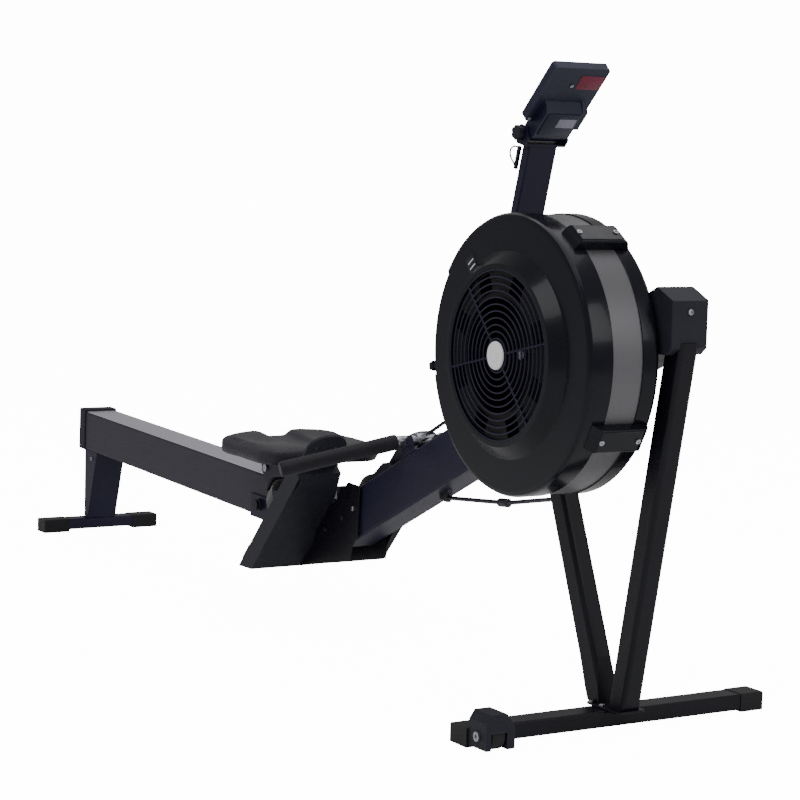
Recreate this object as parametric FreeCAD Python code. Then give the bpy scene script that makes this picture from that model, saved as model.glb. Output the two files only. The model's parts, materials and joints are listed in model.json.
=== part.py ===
import FreeCAD, Part
import math
import os

# Air rowing machine. Millimetres. +X runs from the seat end to the flywheel end, +Y is the
# rower's left and +Z is up. Heights are drawn from a datum 9 mm below the floor, and every
# node is lowered by that much at the end, so the finished origin is on the floor, midway
# along the machine.

V = FreeCAD.Vector

# Driving dimensions
machine_length = 2332.0
datum_depth = 9.0
foot_width = 610.0
beam_slope = 25.8
beam_width = 69.0
beam_depth = 92.0
beam_wall = 3.0
rail_slope = -1.72
rail_width = 78.0
rail_depth = 93.0
rail_wall = 2.5
rail_length = 1256.0
axle_x = 914.0
axle_z = 625.0
cage_radius = 233.0
cage_back_y = -37.0
clip_angles = (56.0, 139.6, 204.0, 331.5)
lever_angle = 189.5
sprocket_teeth = 14
chain_pitch = 6.35
pull_slope = 21.0
board_slope = 47.6
board_length = 322.0
seat_x = -110.0
arm_lean = 15.7
screen_slope = 44.7

# Places worked out from the driving dimensions
end_x = machine_length / 2
beam_start = V(204, 0, 303)
rail_start = V(-1137.8, 0, 302.85)
beam_half = beam_width / 2
rail_half = rail_width / 2
sprocket_radius = chain_pitch / (2 * math.sin(math.pi / sprocket_teeth))
arm_pivot = V(620, 0, 573)
tilt_pivot = V(735, 0, 990)
front_foot_x = 1000.0
rear_foot_x = -1142.0
bar_centre = V(360, 0, 410)
grip_end = V(301, 250, 361)
board_heel = V(-72, 0, 108)
os.makedirs("parts", exist_ok=True)


def block(x0, x1, y0, y1, z0, z1):
    return Part.makeBox(x1 - x0, y1 - y0, z1 - z0, V(x0, y0, z0))


def rod(radius, start, end):
    return Part.makeCylinder(radius, (end - start).Length, start, end - start)


def tube(outer, inner, start, end):
    return rod(outer, start, end).cut(rod(inner, start, end))


def plate(corners, y0, y1):
    # a flat outline in the XZ plane, given thickness along Y
    ring = [V(x, y0, z) for x, z in corners]
    return Part.Face(Part.makePolygon(ring + ring[:1])).extrude(V(0, y1 - y0, 0))


def cross_plate(corners, x0, x1):
    # a flat outline in the YZ plane, given thickness along X
    ring = [V(x0, y, z) for y, z in corners]
    return Part.Face(Part.makePolygon(ring + ring[:1])).extrude(V(x1 - x0, 0, 0))


def turned(profile, centre_x=axle_x, centre_z=axle_z):
    # an outline of (radius, y) turned about a line along Y
    ring = [V(centre_x + r, y, centre_z) for r, y in profile]
    face = Part.Face(Part.makePolygon(ring + ring[:1]))
    return face.revolve(V(centre_x, 0, centre_z), V(0, 1, 0), 360)


def join(shapes):
    whole = shapes[0]
    for shape in shapes[1:]:
        whole = whole.fuse(shape)
    return whole.removeSplitter()


def rounded(shape, axis, radius, test=None):
    # rounds the straight edges that run along one axis
    edges = []
    for edge in shape.Edges:
        if len(edge.Vertexes) == 2 and edge.Curve.TypeId == "Part::GeomLine":
            step = edge.Vertexes[1].Point - edge.Vertexes[0].Point
            along = abs(step.normalize().dot(axis)) > 0.999
            if along and (test is None or test(edge.CenterOfMass)):
                edges.append(edge)
    return shape.makeFillet(radius, edges)


def tilted(shape, origin, slope):
    # moves a shape drawn level at zero to its place on a slope that rises along +X
    moved = shape.copy()
    moved.rotate(V(0, 0, 0), V(0, 1, 0), -slope)
    moved.translate(origin)
    return moved


def on_beam(shape):
    return tilted(shape, beam_start, beam_slope)


def on_rail(shape):
    return tilted(shape, rail_start, rail_slope)


def at_angle(shape, degrees):
    # turns a shape drawn at +X of the axle round to an angle measured from +X towards +Z
    moved = shape.copy()
    moved.rotate(V(axle_x, 0, axle_z), V(0, 1, 0), -degrees)
    return moved


def beam_place(point):
    angle = math.radians(beam_slope)
    step = point - beam_start
    along = step.x * math.cos(angle) + step.z * math.sin(angle)
    above = step.z * math.cos(angle) - step.x * math.sin(angle)
    return along, above


axle_along, axle_above = beam_place(V(axle_x, 0, axle_z))
bar_along, bar_above = beam_place(bar_centre)
guide_along = 428.9
guide_above = 34.8


# main frame

def beam_outline(y0, y1, grow, start, end):
    return on_beam(block(start, end, y0, y1, -beam_depth - grow, grow))


def main_beam():
    start, end = -110.0, 1012.0
    skin = block(start, end, -beam_half, beam_half, -beam_depth, 0)
    skin = rounded(skin, V(1, 0, 0), 5)
    inner = beam_half - beam_wall
    bore = block(start, end, -inner, inner, beam_wall - beam_depth, -beam_wall)
    skin = on_beam(skin.cut(rounded(bore, V(1, 0, 0), 3)))
    lower_end = block(-100, 124, -60, 60, 0, 400)
    skin = skin.cut(lower_end)
    slot = on_beam(block(712, axle_along + 22, -6, 6, -beam_wall - 1, 1))
    holes = rod(15, V(axle_x, -60, axle_z), V(axle_x, 60, axle_z))
    skin = skin.cut(slot).cut(holes)
    return join([skin, pulley_pin()])


def front_leg_body(grow=0.0):
    half = 22 + grow
    lean = 0.1875
    foot, top = V(1032, 0, 44), V(1148, 0, 662)
    outline = [(foot.x - half, foot.z), (foot.x + half - 4, foot.z),
               (foot.x + half + 3 * lean + 2, foot.z + 16),
               (top.x + half, top.z), (top.x - half, top.z)]
    wide = 19 + grow
    shape = plate(outline, -wide, wide)
    return rounded(shape, V(lean, 0, 1).normalize(), 9)


def leg_front():
    above_beam = beam_outline(-80, 80, 0, 400, 1300)
    return front_leg_body().cut(above_beam).cut(front_leg_body(-2.5))


def rear_leg_tube(grow=0.0):
    slope = 0.405
    top = V(841 - slope * 180, 0, 550)
    bend = V(841 + slope * 262, 0, 108)
    foot = V(966, 0, 44)
    half = 21.5 + grow
    outline = [(foot.x - half + 4, foot.z), (foot.x + half, foot.z),
               (bend.x + half + 10, bend.z - 18), (bend.x + half + 1, bend.z + 12),
               (top.x + half, top.z), (top.x - half, top.z), (bend.x - half - 1, bend.z + 2),
               (foot.x - half - 4, foot.z + 18)]
    shape = plate(outline, -19 - grow, 19 + grow)
    return rounded(shape, V(-slope, 0, 1).normalize(), 9)


def leg_rear():
    above_beam = beam_outline(-80, 80, 0, 200, 1100)
    return rear_leg_tube().cut(above_beam).cut(rear_leg_tube(-2.5))


def leg_base_plate():
    corners = [(-29, 40), (29, 40), (29, 44), (-29, 44)]
    shape = cross_plate(corners, 962, 1056)
    return rounded(shape, V(0, 0, 1), 8)


def beam_front_cap():
    # a moulded cap over the beam's cut end, notched round the front leg
    def top(x):
        return beam_start.z + math.tan(math.radians(beam_slope)) * (x - beam_start.x) + 2.2

    def bottom(x):
        return top(x) - 4.4 - beam_depth / math.cos(math.radians(beam_slope))

    rear = 1088.0
    outline = [(end_x, 730), (end_x, 655), (1151, 643), (1122, 643), (rear, bottom(rear)),
               (rear - 45, top(rear - 45)), (1124, top(1124))]
    half = 36.0
    shape = plate(outline, -half, half)
    shape = rounded(shape, V(0, 0, 1), 3, lambda p: p.x > 1160)
    cavity = beam_outline(-beam_half, beam_half, 0, 500, 1012)
    return shape.cut(cavity).cut(front_leg_body(0.3))


def leg_stay():
    # threaded rod with a turnbuckle nut, from a lug under the beam to the rear leg
    points = [V(460, 0, 315), V(666, 0, 335), V(770, 0, 355), V(841, 0, 368)]
    pieces = [rod(4, points[0], points[1]), rod(4, points[1], points[2])]
    pieces.append(rod(4, points[2], points[3]))
    pieces += [Part.makeSphere(4, point) for point in points[1:3]]
    direction = (points[1] - points[0]).normalize()
    pieces.append(rod(8, points[1] - direction * 22, points[1] + direction * 4))
    pieces.append(plate([(448, 312), (472, 308), (478, 338), (446, 330)], -5, 5))
    shape = join(pieces)
    return shape.cut(beam_outline(-60, 60, 0, 0, 1100)).cut(rear_leg_tube())


# front foot

def front_foot_bar():
    half_x, half_y = 23, foot_width / 2 - 4
    shape = block(front_foot_x - half_x, front_foot_x + half_x, -half_y, half_y, 12, 40)
    shape = rounded(shape, V(0, 1, 0), 4)
    bore = block(front_foot_x - 20, front_foot_x + 20, -half_y, half_y, 15, 37)
    return shape.cut(rounded(bore, V(0, 1, 0), 2))


def foot_cap(bar_x, bar_half, side, bar_end, cap_end, reach, bar_low):
    # a rubber cap pushed over one end of a foot bar, down to the floor
    low, high = sorted((side * cap_end, side * (cap_end - reach)))
    outer = block(bar_x - bar_half - 1.5, bar_x + bar_half + 1.5, low, high, datum_depth, 41)
    outer = rounded(outer, V(0, 1, 0), 4, lambda p: p.z > 20)
    inner = block(bar_x - bar_half, bar_x + bar_half, -bar_end, bar_end, bar_low, 40)
    return outer.cut(rounded(inner, V(0, 1, 0), 4))


def foot_end_caps():
    solids = []
    for side in (-1, 1):
        half_width = foot_width / 2
        solids.append(foot_cap(front_foot_x, 23, side, half_width - 4, half_width, 48, 12))
        solids.append(foot_cap(rear_foot_x + 2, 22, side, 144, 149, 65, 14))
    return Part.makeCompound(solids)


wheel_x, wheel_z = 1052.0, 34.0


def wheel_cover():
    # a hood over the wheel, bolted to the front face of the foot bar's end
    outer = cross_plate([(-301, 14), (-301, 58), (-291, 72), (-262, 72), (-246, 50), (-246, 14)],
                        front_foot_x + 25, wheel_x + 24)
    room = rod(25, V(wheel_x, -291, wheel_z), V(wheel_x, -261, wheel_z))
    below = block(wheel_x - 25, wheel_x + 60, -291, -261, -10, wheel_z)
    hood = outer.cut(room).cut(below)
    return hood.cut(rod(4.0, V(wheel_x, -320, wheel_z), V(wheel_x, -240, wheel_z)))


def transport_wheel():
    shape = turned([(4.05, -288), (23, -288), (23, -264), (4.05, -264)], wheel_x, wheel_z)
    groove = turned([(12, -289), (19, -289), (19, -284), (12, -284)], wheel_x, wheel_z)
    return shape.cut(groove)


def wheel_axle():
    centre = V(wheel_x, 0, wheel_z)
    shank = rod(4.0, centre + V(0, -301, 0), centre + V(0, -244, 0))
    head = rod(8, centre + V(0, -305, 0), centre + V(0, -301, 0))
    socket = rod(3.4, centre + V(0, -306, 0), centre + V(0, -303, 0))
    nut = rod(7, centre + V(0, -246, 0), centre + V(0, -241, 0))
    return join([shank, head, nut]).cut(socket)


# monorail

def monorail():
    shape = block(0, rail_length, -rail_half, rail_half, -rail_depth, -2)
    shape = rounded(shape, V(1, 0, 0), 4)
    inner = rail_half - rail_wall
    bore = block(0, rail_length, -inner, inner, rail_wall - rail_depth, -2 - rail_wall)
    shape = shape.cut(rounded(bore, V(1, 0, 0), 2))
    pin_hole = rod(6, V(lock_along, -rail_half - 1, lock_level), V(lock_along, 0, lock_level))
    return on_rail(shape.cut(pin_hole))


def rail_track():
    # steel running strip let into the top of the monorail
    half = rail_half - 2
    return on_rail(block(0, rail_length, -half, half, -2, 0))


def rail_end_cap():
    outer = block(-25.2, 8, -rail_half - 3, rail_half + 3, -rail_depth - 2, 5)
    outer = rounded(outer, V(1, 0, 0), 4)
    bore = block(0, 9, -rail_half, rail_half, -rail_depth, 0)
    return on_rail(outer.cut(bore))


def rear_leg():
    back, wide = rear_foot_x + 4, rail_half - 2
    top = 212.0
    outline = [(back, 40), (back + 20, 40), (back + 74, top), (back, top)]
    shape = plate(outline, -wide, wide)
    hollow = plate([(back + 3, 43), (back + 17, 43), (back + 70, top), (back + 3, top)],
                   3 - wide, wide - 3)
    under_rail = on_rail(block(-40, 200, -60, 60, -rail_depth, 20))
    return shape.cut(hollow).cut(under_rail).cut(rail_end_cap())


def rear_foot_bar():
    shape = block(rear_foot_x - 20, rear_foot_x + 24, -144, 144, 14, 40)
    shape = rounded(shape, V(0, 1, 0), 4)
    bore = block(rear_foot_x - 17, rear_foot_x + 21, -144, 144, 17, 37)
    return shape.cut(rounded(bore, V(0, 1, 0), 2))


def joint_plates():
    # side plates that bolt the monorail to the beam and skirt the footrests, with packers
    # over the narrower beam and a stop for the seat
    outline = [(-72, 108), (-17, 109), (182, 152), (187, 178), (209, 206), (214, 304), (168, 306),
               (112, 256), (72, 240)]
    solids = []
    for side in (-1, 1):
        face = plate(outline, *sorted((side * rail_half, side * (rail_half + 3))))
        packer = plate([(128, 196), (128, 252), (176, 282), (208, 296), (208, 216), (150, 196)],
                       *sorted((side * beam_half, side * rail_half)))
        solids.append(join([face, packer]))
    solids.append(on_rail(block(rail_length - 32, rail_length - 20, -20, 20, 0, 20)))
    return Part.makeCompound(solids)


lock_along = 943.0
lock_level = -66.0


def frame_lock_bracket():
    # a saddle round the monorail's lower half, with a boss for the spring pin
    outer = block(lock_along - 45, lock_along + 45, -rail_half - 4, rail_half + 4,
                  -rail_depth - 4, -48)
    inner = block(lock_along - 46, lock_along + 46, -rail_half, rail_half, -rail_depth, -40)
    boss = rod(13, V(lock_along, -rail_half - 8, lock_level), V(lock_along, -rail_half, lock_level))
    hole = rod(5.05, V(lock_along, -rail_half - 30, lock_level), V(lock_along, 0, lock_level))
    shape = join([rounded(outer, V(0, 0, 1), 3), boss]).cut(inner)
    return on_rail(shape.cut(hole))


def lock_pin():
    face = -rail_half - 8
    shank = rod(5, V(lock_along, face - 1, lock_level), V(lock_along, -24, lock_level))
    knob = rod(12, V(lock_along, face - 10, lock_level), V(lock_along, face - 0.5, lock_level))
    waist = Part.makeTorus(13.5, 3, V(lock_along, face - 5, lock_level), V(0, 1, 0))
    return on_rail(join([shank, knob]).cut(waist))


# footrests

board_inner, board_outer = 42.0, 155.0
toe_centre, toe_half = 105.0, 43.0


def on_board(shape):
    return tilted(shape, board_heel, board_slope)


def footboard(side):
    # a deep moulded board: a channel on top for the sliding toe plate, over a ribbed hollow
    low, high = sorted((side * board_inner, side * board_outer))
    outline = [(0, 0), (board_length - 14, 0), (board_length, -10), (board_length, -40),
               (38, -40)]
    deep = plate(outline, low, high)
    channel_low, channel_high = sorted((side * (toe_centre - toe_half - 1),
                                        side * (toe_centre + toe_half + 1)))
    channel = block(-5, board_length + 5, channel_low, channel_high, -13, 5)
    hollow = block(62, board_length - 12, channel_low + 3, channel_high - 3, -36, -12)
    ribs = [block(x, x + 5, channel_low, channel_high, -37, -13) for x in (120, 175, 230)]
    corner = Part.makePolygon([V(board_length - 70, side * (board_inner - 1), -50),
                               V(board_length - 70, side * board_inner, -50),
                               V(board_length + 1, side * (board_inner + 16), -50),
                               V(board_length + 1, side * (board_inner - 1), -50),
                               V(board_length - 70, side * (board_inner - 1), -50)])
    shape = join([deep.cut(channel).cut(hollow)] + ribs)
    return on_board(shape.cut(Part.Face(corner).extrude(V(0, 0, 60))))


def footrest_bridge():
    # the heel panel that passes under the monorail, between the side plates
    outline = [(0, 0), (89, 0), (123, -40), (38, -40)]
    shape = on_board(plate(outline, -rail_half, rail_half))
    return shape.cut(on_rail(block(700, 1400, -60, 60, -rail_depth, 40)))


def toe_plate(side):
    # sliding plate with a heel cup and two columns of peg holes
    centre = side * toe_centre
    low, high = centre - toe_half, centre + toe_half
    length = 412.0
    flat = block(14, length, low, high, -12.5, -7.5)
    flat = rounded(flat, V(0, 0, 1), 38, lambda p: p.x > length - 5)
    cup = block(14, 20, low, high, -12.5, 14)
    sides = [block(14, 62, y, y + 4, -12.5, 10) for y in (low, high - 4)]
    sides = [rounded(wall, V(0, 1, 0), 10, lambda p: p.x > 50 and p.z > 5) for wall in sides]
    shape = join([flat, rounded(cup, V(1, 0, 0), 12, lambda p: p.z > 10)] + sides)
    for row in range(5):
        for column in (-21, 21):
            x = length - 34 - 14 * row * (1 if row < 2 else 2.2)
            hole = rod(4, V(x, centre + column, -20), V(x, centre + column, 0))
            shape = shape.cut(hole)
    return on_board(shape)


def foot_straps():
    # webbing that goes over each foot, from one edge of the board to the other
    solids = []
    for side in (-1, 1):
        near, far = side * (board_inner + 6), side * (board_outer - 1)
        mid = side * toe_centre
        outer = [(near, -12), (near, 30), (mid - side * 26, 66), (mid + side * 26, 66), (far, 30),
                 (far, -12)]
        inner = [(far - side * 3, -12), (far - side * 3, 29), (mid + side * 25, 63),
                 (mid - side * 25, 63), (near + side * 3, 29), (near + side * 3, -12)]
        band = cross_plate(outer + inner, 176, 214)
        solids.append(on_board(band.cut(block(170, 220, -200, 200, -20, 0.2))))
    return Part.makeCompound(solids)


# chain, handle

def chain_guide():
    shape = block(guide_along - 20, guide_along + 22, -14, 14, 0, 46)
    shape = rounded(shape, V(0, 1, 0), 8, lambda p: p.z > 40)
    window = block(guide_along - 30, guide_along + 30, -4.5, 4.5, 24, 41)
    return on_beam(shape.cut(window))


def handle_hook():
    # two notched cheeks that the bar sits in; the notches open the way the handle leaves
    leave = math.radians(180 - pull_slope - beam_slope)
    centre = V(bar_along, 0, bar_above)
    base = block(bar_along - 26, bar_along + 30, -33, 33, 0, 3)
    solids = [base]
    for y in (-32, 28):
        cheek = block(bar_along - 17, bar_along + 26, y, y + 4, 0, bar_above + 5)
        solids.append(rounded(cheek, V(0, 1, 0), 8, lambda p: p.z > 30 and p.x > bar_along))
    shape = join(solids)
    way = V(math.cos(leave), 0, math.sin(leave))
    notch = rod(11.8, centre + V(0, -40, 0), centre + V(0, 40, 0))
    side = V(-way.z, 0, way.x) * 11.8
    ring = [centre + side, centre - side, centre - side + way * 60, centre + side + way * 60]
    ring = [point + V(0, -40, 0) for point in ring]
    path = Part.Face(Part.makePolygon(ring + ring[:1])).extrude(V(0, 80, 0))
    return on_beam(shape.cut(notch).cut(path))


def handle_line(side, distance):
    start = bar_centre + V(0, side * 45, 0)
    end = V(grip_end.x, side * grip_end.y, grip_end.z)
    direction = (end - start).normalize()
    return start + direction * distance, direction


def handle_bar():
    pieces = [rod(11, bar_centre + V(0, -45, 0), bar_centre + V(0, 45, 0))]
    for side in (-1, 1):
        start, direction = handle_line(side, 0)
        pieces.append(Part.makeSphere(11, start))
        pieces.append(rod(11, start, start + direction * 222))
    return join(pieces)


def handle_grips():
    solids = []
    for side in (-1, 1):
        start, direction = handle_line(side, 3)
        end = start + direction * 229
        outer = rod(15, start, end)
        ends = [edge for edge in outer.Edges if edge.Curve.TypeId == "Part::GeomCircle"]
        outer = outer.makeFillet(3.5, ends)
        solids.append(outer.cut(rod(11, start - direction * 5, start + direction * 219.2)))
    return Part.makeCompound(solids)


def handle_swivel():
    collar = tube(15, 11, V(bar_along, -9, bar_above), V(bar_along, 9, bar_above))
    tongue = block(bar_along + 13, bar_along + 34, -5, 5, bar_above - 6, bar_above + 4)
    return on_beam(join([collar, tongue]))


def chain_run():
    start = V(bar_along + 34, 0, bar_above - 1)
    end = V(guide_along - 20, 0, guide_above - 1)
    outline = [(start.x, start.z - 3), (end.x, end.z - 3), (end.x, end.z + 3), (start.x, start.z + 3)]
    return on_beam(plate(outline, -3.5, 3.5))


def chain_feed():
    # the chain from the guide down to the top of the sprocket, round it and back inside the beam
    top = axle_above + sprocket_radius
    first = [(guide_along - 19, guide_above - 4), (axle_along, top - 3), (axle_along, top + 3),
             (guide_along - 19, guide_above + 2)]
    sides = []
    for y in (-2.9, 1.7):
        run = plate(first, y, y + 1.2)
        round_part = tube(sprocket_radius + 3, sprocket_radius - 2.4, V(axle_along, y, axle_above),
                          V(axle_along, y + 1.2, axle_above))
        keep = block(axle_along, axle_along + 30, -10, 10, axle_above - 30, axle_above + 30)
        low = axle_above - sprocket_radius
        back = block(600, axle_along, y, y + 1.2, low - 3, low + 2.4)
        sides.append(join([run, round_part.common(keep), back]))
    link = block(601, 640, -1.7, 1.7, axle_above - sprocket_radius - 3,
                 axle_above - sprocket_radius + 2)
    return on_beam(join(sides + [link]))


def chain_sprocket():
    body = rod(sprocket_radius - 2.6, V(axle_along, -1.3, axle_above), V(axle_along, 1.3, axle_above))
    teeth = []
    for index in range(sprocket_teeth):
        tooth = plate([(axle_along + 9, axle_above - 1.6), (axle_along + 9, axle_above + 1.6),
                       (axle_along + sprocket_radius + 2.2, axle_above + 0.5),
                       (axle_along + sprocket_radius + 2.2, axle_above - 0.5)], -1.2, 1.2)
        tooth.rotate(V(axle_along, 0, axle_above), V(0, 1, 0), index * 360 / sprocket_teeth)
        teeth.append(tooth)
    hub = rod(11, V(axle_along, -18, axle_above), V(axle_along, -3.6, axle_above))
    neck = rod(10.5, V(axle_along, -3.6, axle_above), V(axle_along, 0, axle_above))
    shape = join([body, hub, neck] + teeth)
    bore = rod(8.5, V(axle_along, -30, axle_above), V(axle_along, 30, axle_above))
    return on_beam(shape.cut(bore))


pulley_along, pulley_above = 30.0, -56.0
pulley_radius = 18.0


def return_pulley():
    shape = rod(pulley_radius + 4, V(pulley_along, -6, pulley_above), V(pulley_along, 6, pulley_above))
    groove = Part.makeTorus(pulley_radius + 5, 5.5, V(pulley_along, 0, pulley_above), V(0, 1, 0))
    bore = rod(5.05, V(pulley_along, -9, pulley_above), V(pulley_along, 9, pulley_above))
    return on_beam(shape.cut(groove).cut(bore))


def pulley_pin():
    # cross pin welded into the beam, which the return pulley turns on
    reach = beam_half - 1
    return on_beam(rod(5, V(pulley_along, -reach, pulley_above), V(pulley_along, reach, pulley_above)))


def shock_cord():
    # elastic cord from the chain's end, round the return pulley and forward to its anchor
    radius = pulley_radius + 5
    high = pulley_above + radius
    low = pulley_above - radius
    upper = rod(4, V(pulley_along, 0, high), V(598, 0, high))
    lower = rod(4, V(pulley_along, 0, low), V(520, 0, low))
    bend = Part.makeTorus(radius, 4, V(pulley_along, 0, pulley_above), V(0, 1, 0))
    bend = bend.common(block(pulley_along - 60, pulley_along, -10, 10, -120, 20))
    return on_beam(join([upper, lower, bend]))


# fan cage

def lever_slot():
    sector = turned([(222, -180), (240, -180), (240, -164), (222, -164)])
    wedge = []
    for step in range(5):
        angle = math.radians(lever_angle - 43 + step * 11.75)
        wedge.append((axle_x + 400 * math.cos(angle), axle_z + 400 * math.sin(angle)))
    keep = plate([(axle_x, axle_z)] + wedge, -200, -100)
    return sector.common(keep)


def shell_near():
    profile = [(141.5, -199), (150, -199), (171, -178), (222, -178), (229.5, -175.5), (233, -169),
               (233, -133), (230, -133), (230, -168), (227.5, -172.5), (221, -175), (169.8, -175),
               (148.8, -196), (141.5, -196)]
    return turned(profile).cut(lever_slot())


def grille():
    rings = []
    for index in range(11):
        radius = 28 + 11.2 * index
        rings.append(turned([(radius - 1.3, -199), (radius + 1.3, -199), (radius + 1.3, -196),
                             (radius - 1.3, -196)]))
    hub = turned([(0.0, -199), (23, -199), (23, -196), (0.0, -196)])
    spokes = []
    for degrees in (12.8, 131.0, 192.8, 311.0):
        spoke = block(axle_x + 10, axle_x + 140.5, -198.6, -195.4, axle_z - 1.6, axle_z + 1.6)
        spokes.append(at_angle(spoke, degrees))
    return join([hub] + rings + spokes)


def hub_badge():
    disc = turned([(0.0, -202), (22.5, -202), (23.5, -201), (23.5, -199), (0.0, -199)])
    return disc


def perforated_band():
    return turned([(228.5, -133), (230, -133), (230, -75), (228.5, -75)])


def shell_far():
    profile = [(20, cage_back_y), (214, cage_back_y), (226, -40), (233, -49), (233, -75),
               (230, -75), (230, -50), (224.5, -43), (213, -40), (20, -40)]
    flange = turned([(15.1, cage_back_y), (40, cage_back_y), (40, -beam_half), (15.1, -beam_half)])
    floor = turned([(15.1, -40), (30, -40), (30, cage_back_y), (15.1, cage_back_y)])
    return join([turned(profile), flange, floor])


def shell_clips():
    solids = []
    for degrees in clip_angles:
        outline = [(-156, 232.6), (-150, 244), (-144, 250), (-66, 250), (-56, 246), (-50, 233.2)]
        ring = [V(axle_x + r, y, axle_z - 22) for y, r in outline]
        bar = Part.Face(Part.makePolygon(ring + ring[:1])).extrude(V(0, 0, 44))
        bar = rounded(bar, V(0, 1, 0), 5, lambda p: p.x > axle_x + 240)
        drum = rod(cage_radius, V(axle_x, -200, axle_z), V(axle_x, 0, axle_z))
        solids.append(at_angle(bar.cut(drum), degrees))
    return Part.makeCompound(solids)


def clip_screws():
    solids = []
    for degrees in clip_angles:
        for y in (-141, -70):
            head = rod(4.5, V(axle_x + 249, y, axle_z), V(axle_x + 252, y, axle_z))
            socket = rod(2.2, V(axle_x + 250.5, y, axle_z), V(axle_x + 253, y, axle_z))
            flat = block(axle_x + 200, axle_x + 250, y - 9, y + 9, axle_z - 9, axle_z + 9)
            solids.append(at_angle(head.cut(socket).cut(flat), degrees))
    return solids


def damper_ring():
    # shutter ring behind the grille, with the lever that comes out through the shell's rim
    ring = turned([(96, -193.5), (144, -193.5), (144, -191), (96, -191)])
    post = block(axle_x + 134, axle_x + 144, -191.2, -170, axle_z - 4, axle_z + 4)
    bar = block(axle_x + 134, axle_x + 238, -173.5, -169, axle_z - 4, axle_z + 4)
    tab = plate([(axle_x + 236, axle_z - 9), (axle_x + 236, axle_z + 9), (axle_x + 247, axle_z + 5),
                 (axle_x + 247, axle_z - 5)], -175, -167.5)
    windows = []
    for index in range(8):
        hole = block(axle_x + 104, axle_x + 136, -195, -190, axle_z - 18, axle_z + 18)
        windows.append(at_angle(hole, 22.5 + index * 45))
    shape = ring
    for hole in windows:
        shape = shape.cut(hole)
    lever = at_angle(join([post, bar, tab]), lever_angle)
    return join([shape, lever])


def flywheel_fan():
    disc = turned([(8.45, -110), (205, -110), (205, -104), (8.45, -104)])
    boss = turned([(8.45, -132), (26, -132), (26, -86), (8.45, -86)])
    blades = []
    for index in range(16):
        for y0, y1 in ((-158, -109), (-105, -58)):
            blade = block(axle_x + 96, axle_x + 212, y0, y1, axle_z - 1, axle_z + 1)
            blades.append(at_angle(blade, index * 22.5 + (0 if y0 < -150 else 11.25)))
    return join([disc, boss] + blades)


def flywheel_axle():
    return rod(8.45, V(axle_x, -150, axle_z), V(axle_x, 33, axle_z))


def axle_bearings():
    solids = []
    for y0, y1 in ((cage_back_y, -24), (24, beam_half)):
        solids.append(turned([(8.5, y0), (14.98, y0), (14.98, y1), (8.5, y1)]))
    return Part.makeCompound(solids)


# monitor and its arm

def on_arm(shape):
    return tilted(shape, arm_pivot, -arm_lean)


def on_screen(shape):
    return tilted(shape, tilt_pivot, screen_slope)


def arm_yoke():
    pivot_along, pivot_above = beam_place(arm_pivot)
    solids = [block(pivot_along - 30, pivot_along + 30, -34.5, 34.5, 0, 3)]
    for y in (-34.4, 30.6):
        cheek = plate([(pivot_along - 28, 0), (pivot_along + 28, 0), (pivot_along + 16, pivot_above + 14),
                       (pivot_along - 16, pivot_above + 14)], y, y + 3.8)
        solids.append(cheek)
    shape = join(solids)
    bore = rod(5, V(pivot_along, -50, pivot_above), V(pivot_along, 50, pivot_above))
    return on_beam(shape.cut(bore))


def arm_pivot_bolt():
    shank = rod(5, arm_pivot + V(0, -34.4, 0), arm_pivot + V(0, 40, 0))
    head = rod(9, arm_pivot + V(0, 34.5, 0), arm_pivot + V(0, 40, 0))
    return join([shank, head])


arm_length = 413.0


def monitor_arm():
    skin = block(-10, 10, -30, 30, -16, arm_length)
    skin = rounded(skin, V(0, 0, 1), 4)
    bore = block(-7.5, 7.5, -27.5, 27.5, -16, arm_length)
    sleeve = rod(9, V(0, -30, 0), V(0, 30, 0))
    shape = join([skin.cut(bore), sleeve])
    return on_arm(shape.cut(rod(5.06, V(0, -40, 0), V(0, 40, 0))))


def monitor_bracket():
    # U bracket on the arm's top; the monitor's neck tilts between its cheeks
    top = arm_pivot + V(math.sin(math.radians(arm_lean)), 0, math.cos(math.radians(arm_lean))) * arm_length
    base = on_arm(block(-12, 14, -42, 42, arm_length, arm_length + 4))
    cheek = [(-12 + top.x, top.z + 2), (top.x + 14, top.z - 4), (top.x + 24, top.z + 8),
             (tilt_pivot.x + 14, tilt_pivot.z + 10), (tilt_pivot.x - 4, tilt_pivot.z + 15),
             (tilt_pivot.x - 14, tilt_pivot.z + 4)]
    cheeks = [plate(cheek, y, y + 3) for y in (-42, 39)]
    shape = join([base] + cheeks)
    bore = rod(4.02, tilt_pivot + V(0, -60, 0), tilt_pivot + V(0, 60, 0))
    return shape.cut(bore)


def monitor_knob():
    # clamp knob and the screw that passes through the cheeks and the monitor's neck
    shank = rod(3.95, tilt_pivot + V(0, -44, 0), tilt_pivot + V(0, 46, 0))
    grip = rod(13, tilt_pivot + V(0, -55, 0), tilt_pivot + V(0, -43, 0))
    lobes = []
    for index in range(6):
        angle = math.radians(index * 60)
        place = tilt_pivot + V(math.cos(angle) * 15.5, 0, math.sin(angle) * 15.5)
        lobes.append(rod(4.5, place + V(0, -64, 0), place + V(0, -40, 0)))
    for lobe in lobes:
        grip = grip.cut(lobe)
    return join([shank, grip])


def monitor_case():
    body = block(34, 160, -57, 57, -6, 6)
    body = rounded(body, V(0, 0, 1), 6)
    neck = plate([(-11, 9), (-13, -4), (-8, -11), (15, -24), (72, -24), (82, -6), (38, -5),
                  (30, 9)], -37, 37)
    shelf = plate([(26, -5), (34, -24), (74, -24), (86, -5)], 36, 46)
    shape = join([body, neck, shelf])
    cell_room = block(16, 70, -30, 30, -20, -10)
    shape = shape.cut(cell_room)
    return on_screen(shape.cut(rod(4.05, V(0, -60, 0), V(0, 60, 0))))


screen_low, screen_high = 84.0, 148.0
button_ys = (-30.0, 0.0, 30.0)
button_along = 62.0


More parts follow.
